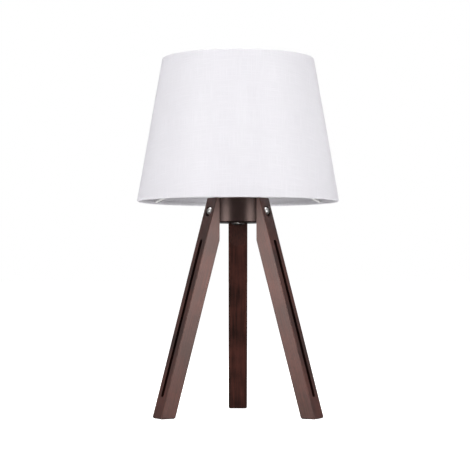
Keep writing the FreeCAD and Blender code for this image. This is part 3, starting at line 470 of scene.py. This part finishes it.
def threaded_sleeve(size, turns_round=96, rows=128):
    """The sleeve: a turned wall whose outside is one long helical ridge, which
    fades out over the last turn at each end, with a plain spigot and bore."""
    shape = bmesh.new()
    rings = []

    def ring(radius_at, height):
        corners = [2 * math.pi * step / turns_round for step in range(turns_round)]
        rings.append([shape.verts.new((radius_at(a) * math.cos(a), radius_at(a) * math.sin(a), height))
                      for a in corners])

    def plain(radius, height):
        ring(lambda angle: radius, height)

    plain(size["bore"], size["spigot_low"])
    plain(size["spigot"], size["spigot_low"])
    plain(size["spigot"], size["bottom"])
    plain(size["root"], size["bottom"])
    for row in range(rows + 1):
        height = size["bottom"] + (size["top"] - size["bottom"]) * row / rows
        fade = min(height - size["thread_from"], size["thread_to"] - height) / size["pitch"]
        fade = max(0.0, min(1.0, fade))

        def ridge(angle, height=height, fade=fade):
            turn = (height / size["pitch"] - angle / (2 * math.pi)) % 1.0
            # The ridge has sloping sides and a flat crest a quarter of the pitch wide.
            rise = max(0.0, min(1.0, 1.6 - abs(turn - 0.5) * 5.0))
            return size["root"] + (size["crest"] - size["root"]) * rise * fade

        ring(ridge, height)
    plain(size["root"] - size["lead_in"], size["top"])
    plain(size["mouth"] + size["mouth_edge"], size["top"])
    plain(size["mouth"], size["top"] - size["mouth_edge"])
    plain(size["mouth"], size["lip"])
    plain(size["bore"], size["lip"])
    for low, high in zip(rings, rings[1:] + rings[:1]):
        for step in range(turns_round):
            following = (step + 1) % turns_round
            shape.faces.new((low[step], low[following], high[following], high[step]))
    bmesh.ops.recalc_face_normals(shape, faces=shape.faces)
    mesh = bpy.data.meshes.new("threaded_sleeve")
    shape.to_mesh(mesh)
    shape.free()
    mesh.shade_smooth()
    mesh.set_sharp_from_angle(angle=math.radians(45))
    sleeve = bpy.data.objects.new("threaded_sleeve", mesh)
    bpy.context.scene.collection.objects.link(sleeve)
    return sleeve


sleeve = threaded_sleeve(HOLDER_SLEEVE)
dress(sleeve, white_thermoset)
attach(sleeve, "stand")
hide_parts("holder_sleeve")

# Steatite under a clear glaze: smooth and wet-looking, faintly cream.
glazed = new_material("glazed_steatite")
glaze_place = add(glazed, "ShaderNodeTexCoord").outputs["Object"]
# The glaze pools thicker in patches about 6 mm across.
glaze_pool = add(glazed, "ShaderNodeTexNoise", {"Scale": 1 / 0.006, "Detail": 2.0, "Roughness": 0.5},
                 {"Vector": glaze_place})
glaze_tone = add(glazed, "ShaderNodeMix", {"data_type": "RGBA", 6: linear("#DEDACF"), 7: linear("#EAE7DF")},
                 {0: glaze_pool.outputs[0]})
glaze_face = add(glazed, "ShaderNodeBsdfPrincipled",
                 {"Roughness": 0.12, "IOR": 1.5, "Coat Weight": 0.6, "Coat Roughness": 0.05},
                 {"Base Color": glaze_tone.outputs[2]})
add(glazed, "ShaderNodeOutputMaterial", links={"Surface": glaze_face.outputs["BSDF"]})
finish_node("holder_core", glazed)

drawn_brass = plated_metal("drawn_brass", "#C9A458", 0.28, grain=0.0004, depth=0.00003)
finish_node("screw_shell", drawn_brass)
finish_node("centre_contact", drawn_brass)
nickel_plate = plated_metal("nickel_plated_steel", "#BDB8AA", 0.30, grain=0.0003, depth=0.00002)
finish_node("terminal_screws", nickel_plate)

# ---------------------------------------------------------------- collars
# Two moulded rings screw on the sleeve and clamp the shade's ring between their
# flanges. Their edges are scalloped for the fingers.
finish_node("collar_lower", white_thermoset)
finish_node("collar_upper", white_thermoset)

# ---------------------------------------------------------------- fitter
# A pressed steel ring with three wire arms welded to it, all powder coated white.
powder_coat = new_material("white_powder_coat")
coat_place = add(powder_coat, "ShaderNodeTexCoord").outputs["Object"]
# Powder flows out to a faint orange peel, with bumps a little over a millimetre apart.
peel = add(powder_coat, "ShaderNodeTexNoise", {"Scale": 1 / 0.0013, "Detail": 1.0, "Roughness": 0.4},
           {"Vector": coat_place})
coat_tone = add(powder_coat, "ShaderNodeMix",
                {"data_type": "RGBA", 6: linear("#DFDFDD"), 7: linear("#ECECEA")},
                {0: peel.outputs[0]})
coat_relief = add(powder_coat, "ShaderNodeBump", {"Strength": 0.3, "Distance": 0.00006},
                  {"Height": peel.outputs[0]})
coat_face = add(powder_coat, "ShaderNodeBsdfPrincipled", {"Roughness": 0.38, "IOR": 1.5},
                {"Base Color": coat_tone.outputs[2], "Normal": coat_relief.outputs[0]})
add(powder_coat, "ShaderNodeOutputMaterial", links={"Surface": coat_face.outputs["BSDF"]})
for node in ("fitter_ring", "fitter_arms", "shade_wire_bottom", "shade_wire_top"):
    finish_node(node, powder_coat)

# ---------------------------------------------------------------- shade
# White polycotton laminated to a stiff film, cut flat as part of a ring and bent
# into a cone. It laps 12 mm at the back, and its long edges are rolled round the
# two wire hoops and glued down inside, slit where the fitter's arms come through.

# A wire is given by its centre's radius and level, round_wire is how far the cloth's
# middle runs from that centre, and hem_out is how far out the glued hem lies.
SHADE = {
    "bottom_wire": (0.12885, 0.27845), "top_wire": (0.09685, 0.46065),
    "cloth": 0.0006, "round_wire": 0.00185, "hem": 0.009, "hem_out": 0.00075, "glue": 0.00005,
    "lap": 0.012, "slit": 0.0036,
    # In degrees round the lamp.
    "seam_at": 90.0, "arms_at": (30.0, 150.0, 270.0), "column_step": 1.5,
}
run = SHADE["bottom_wire"][0] - SHADE["top_wire"][0]
rise = SHADE["top_wire"][1] - SHADE["bottom_wire"][1]
slant = math.hypot(run, rise)
lean_in, lean_up = run / slant, rise / slant


def shade_section():
    """The cloth's middle line from one glued edge to the other: how far up the wall
    each point is, how far out from the line between the wires' centres, and whether
    it lies in the turn that the arms come through."""
    turn = SHADE["round_wire"]
    # From its glued edge the hem lies flat on the film, then swings in round the wire.
    edge = [(SHADE["hem"], SHADE["hem_out"]), (0.0065, SHADE["hem_out"]), (0.0046, SHADE["hem_out"]),
            (0.0037, 0.00068), (0.0030, 0.00035), (0.0022, -0.00045)]
    steps = [-225 + 22.5 * step for step in range(11)]
    edge += [(turn * math.sin(math.radians(a)), turn * math.cos(math.radians(a))) for a in steps]
    bottom = [(up, out, 0.0 < up < 0.0050 and out < SHADE["hem_out"] + 1e-6) for up, out in edge]
    wall = [(slant * step / 14, turn, False) for step in range(1, 14)]
    top = [(slant - up, out, False) for up, out in reversed(edge)]
    return bottom + wall + top


def shade_columns():
    """Where round the lamp the cloth's columns of faces stand, in degrees. There is
    one each side of every arm, as far apart as the slit is wide."""
    lap = math.degrees(SHADE["lap"] / SHADE["bottom_wire"][0])
    half_slit = math.degrees(SHADE["slit"] / 2 / SHADE["bottom_wire"][0])
    columns = []
    azimuth = SHADE["seam_at"]
    while azimuth < SHADE["seam_at"] + 360 + lap:
        if azimuth % 360 in SHADE["arms_at"]:
            columns += [(azimuth - half_slit, True), (azimuth + half_slit, False)]
        else:
            columns.append((azimuth, False))
        azimuth += SHADE["column_step"]
    columns.append((SHADE["seam_at"] + 360 + lap, False))
    return columns


def shade_cloth():
    section = shade_section()
    columns = shade_columns()
    apex = SHADE["bottom_wire"][0] / lean_in
    shape = bmesh.new()
    cut_layer = shape.loops.layers.uv.new("flat_cut")
    grid = []
    flat = {}
    for azimuth, _ in columns:
        past_seam = azimuth - SHADE["seam_at"] - 360
        # The lapping end climbs over the last degree, 2 mm, before the end below it.
        climb = max(0.0, min(1.0, 1.0 + past_seam))
        lift = (SHADE["cloth"] + SHADE["glue"]) * climb * climb * (3 - 2 * climb)
        turn = math.radians(azimuth)
        # The wall waves by a tenth or two of a millimetre, and the hem puckers finely.
        ripple = 0.00010 * math.sin(5 * turn + 0.7) + 0.00007 * math.sin(11 * turn + 2.1)
        pucker = 0.00012 * math.sin(61 * turn) + 0.00010 * math.sin(97 * turn + 1.3)
        column = []
        for index, (up, out, _) in enumerate(section):
            before, after = section[max(index - 1, 0)], section[min(index + 1, len(section) - 1)]
            along = Vector((after[0] - before[0], after[1] - before[1])).normalized()
            facing = Vector((-along.y, along.x))
            on_wall = 1.0 if 0.004 < up < slant - 0.004 and out > SHADE["hem_out"] + 0.0001 else 0.0
            on_hem = 1.0 if abs(out - SHADE["hem_out"]) < 1e-6 else 0.0
            height = up + facing.x * lift + (pucker * 1.5 if index in (0, len(section) - 1) else 0.0)
            bulge = ripple * on_wall * math.sin(math.pi * up / slant)
            reach = out + facing.y * lift + bulge - abs(pucker) * on_hem
            radius = SHADE["bottom_wire"][0] - height * lean_in + reach * lean_up
            level = SHADE["bottom_wire"][1] + height * lean_up + reach * lean_in
            vertex = shape.verts.new((radius * math.cos(turn), radius * math.sin(turn), level))
            spread = (turn - math.radians(SHADE["seam_at"] + 180)) * lean_in
            flat[vertex] = ((apex - up) * math.sin(spread), (apex - up) * math.cos(spread))
            column.append(vertex)
        grid.append(column)
    for (left, right), (_, slit) in zip(zip(grid, grid[1:]), columns):
        for index in range(len(section) - 1):
            if slit and section[index][2] and section[index + 1][2]:
                continue
            face = shape.faces.new((left[index], right[index], right[index + 1], left[index + 1]))
            for loop in face.loops:
                loop[cut_layer].uv = flat[loop.vert]
    mesh = bpy.data.meshes.new("shade_cloth")
    shape.to_mesh(mesh)
    shape.free()
    mesh.shade_smooth()
    cloth = bpy.data.objects.new("shade_cloth", mesh)
    bpy.context.scene.collection.objects.link(cloth)
    body = cloth.modifiers.new("cloth_thickness", "SOLIDIFY")
    body.thickness = SHADE["cloth"]
    body.offset = 0.0
    body.use_even_offset = True
    return cloth


# Threads are drawn 0.8 mm apart, twice as coarse as real ones, so that they show.
THREAD = 0.0008


def plain_weave():
    """White polycotton in a plain weave, each thread over one and under the next.
    The threads run straight in the flat cut, so they lean towards the seam."""
    material = new_material("white_polycotton_plain_weave")
    cut = add(material, "ShaderNodeUVMap", {"uv_map": "flat_cut"})
    axes = add(material, "ShaderNodeSeparateXYZ", links={"Vector": cut.outputs[0]})
    waves = []
    for axis in ("X", "Y"):
        turn = add(material, "ShaderNodeMath", {"operation": "MULTIPLY", 1: math.pi / THREAD},
                   {0: axes.outputs[axis]})
        waves.append(add(material, "ShaderNodeMath", {"operation": "SINE"}, {0: turn.outputs[0]}))
    warp, weft = (add(material, "ShaderNodeMath", {"operation": "ABSOLUTE"}, {0: wave.outputs[0]})
                  for wave in waves)
    side = add(material, "ShaderNodeMath", {"operation": "MULTIPLY"},
               {0: waves[0].outputs[0], 1: waves[1].outputs[0]})
    over = add(material, "ShaderNodeMapRange", {"From Min": -0.15, "From Max": 0.15},
               {"Value": side.outputs[0]})
    weave = add(material, "ShaderNodeMix", {"data_type": "FLOAT"},
                {0: over.outputs[0], 2: weft.outputs[0], 3: warp.outputs[0]})
    # Cotton is spun unevenly: some threads are thicker for 20 to 40 mm at a time.
    slubs = []
    for scale in ((1 / 0.0011, 1 / 0.030, 1.0), (1 / 0.030, 1 / 0.0011, 1.0)):
        place = add(material, "ShaderNodeMapping", {"Scale": scale}, {"Vector": cut.outputs[0]})
        slubs.append(add(material, "ShaderNodeTexNoise", {"Scale": 1.0, "Detail": 2.0, "Roughness": 0.5},
                         {"Vector": place.outputs[0]}))
    slub = add(material, "ShaderNodeMath", {"operation": "MAXIMUM"},
               {0: slubs[0].outputs[0], 1: slubs[1].outputs[0]})
    shown = add(material, "ShaderNodeMapRange", {"From Min": 0.45, "From Max": 0.80},
                {"Value": slub.outputs[0]})
    tone = add(material, "ShaderNodeMix", {"data_type": "RGBA", 6: linear("#EAE9EC"), 7: linear("#F1F0F3")},
               {0: shown.outputs[0]})
    thread_relief = add(material, "ShaderNodeBump", {"Strength": 0.35, "Distance": 0.00012},
                        {"Height": weave.outputs[0]})
    relief = add(material, "ShaderNodeBump", {"Strength": 0.25, "Distance": 0.0001},
                 {"Height": shown.outputs[0], "Normal": thread_relief.outputs[0]})
    face = add(material, "ShaderNodeBsdfPrincipled",
               {"Roughness": 0.42, "Sheen Weight": 0.10, "Sheen Roughness": 0.4},
               {"Base Color": tone.outputs[2], "Normal": relief.outputs[0]})
    through = add(material, "ShaderNodeBsdfTranslucent", links={"Color": tone.outputs[2]})
    lit = add(material, "ShaderNodeMixShader", {0: 0.45}, {1: face.outputs["BSDF"], 2: through.outputs[0]})
    add(material, "ShaderNodeOutputMaterial", links={"Surface": lit.outputs[0]})
    return material


cloth = shade_cloth()
dress(cloth, plain_weave())
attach(cloth, "shade")
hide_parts("shade_cover")

# The film inside it is 0.4 mm thick and shows a little glossy, with a frosting whose
# grain is a millimetre across.
film = new_material("frosted_stiff_film")
film_place = add(film, "ShaderNodeTexCoord").outputs["Object"]
film_frost = add(film, "ShaderNodeTexNoise", {"Scale": 1 / 0.0010, "Detail": 2.0, "Roughness": 0.5},
                 {"Vector": film_place})
film_tone = add(film, "ShaderNodeMix", {"data_type": "RGBA", 6: linear("#F0F0F1"), 7: linear("#F7F7F7")},
                {0: film_frost.outputs[0]})
film_relief = add(film, "ShaderNodeBump", {"Strength": 0.2, "Distance": 0.00003},
                  {"Height": film_frost.outputs[0]})
film_face = add(film, "ShaderNodeBsdfPrincipled", {"Roughness": 0.40, "IOR": 1.53},
                {"Base Color": film_tone.outputs[2], "Normal": film_relief.outputs[0]})
film_through = add(film, "ShaderNodeBsdfTranslucent", links={"Color": film_tone.outputs[2]})
film_lit = add(film, "ShaderNodeMixShader", {0: 0.35},
               {1: film_face.outputs["BSDF"], 2: film_through.outputs[0]})
add(film, "ShaderNodeOutputMaterial", links={"Surface": film_lit.outputs[0]})
finish_node("shade_liner", film)

# ---------------------------------------------------------------- bulb
# A 60 mm globe bulb: a nickel-plated screw cap with a black glass insulator and a
# soldered tip, a white moulded neck, and an opal globe snapped on over the board.
finish_node("bulb_tip", plated_metal("soldered_tip", "#A8A59C", 0.35, grain=0.0005, depth=0.00006))
finish_node("bulb_cap", plated_metal("nickel_plated_brass", "#C8C4B6", 0.22, grain=0.0003, depth=0.00002))
finish_node("bulb_insulator", moulded_plastic("black_glass_insulator", "#101012", 0.16, texture=0.002))
finish_node("bulb_housing", moulded_plastic("moulded_white_polycarbonate", "#EFEEEA", 0.34))
finish_node("bulb_board", moulded_plastic("white_solder_mask", "#E8E8E2", 0.45, texture=0.001))

# Opal polycarbonate: milky and even, with a soft gloss that varies over 12 mm or so.
opal = new_material("opal_polycarbonate")
opal_place = add(opal, "ShaderNodeTexCoord").outputs["Object"]
opal_cloud = add(opal, "ShaderNodeTexNoise", {"Scale": 1 / 0.012, "Detail": 1.0, "Roughness": 0.4},
                 {"Vector": opal_place})
opal_tone = add(opal, "ShaderNodeMix", {"data_type": "RGBA", 6: linear("#EEECE5"), 7: linear("#F6F5F0")},
                {0: opal_cloud.outputs[0]})
opal_shine = add(opal, "ShaderNodeMapRange", {"To Min": 0.28, "To Max": 0.38},
                 {"Value": opal_cloud.outputs[0]})
opal_face = add(opal, "ShaderNodeBsdfPrincipled", {"IOR": 1.58},
                {"Base Color": opal_tone.outputs[2], "Roughness": opal_shine.outputs[0]})
add(opal, "ShaderNodeOutputMaterial", links={"Surface": opal_face.outputs["BSDF"]})
finish_node("bulb_globe", opal)
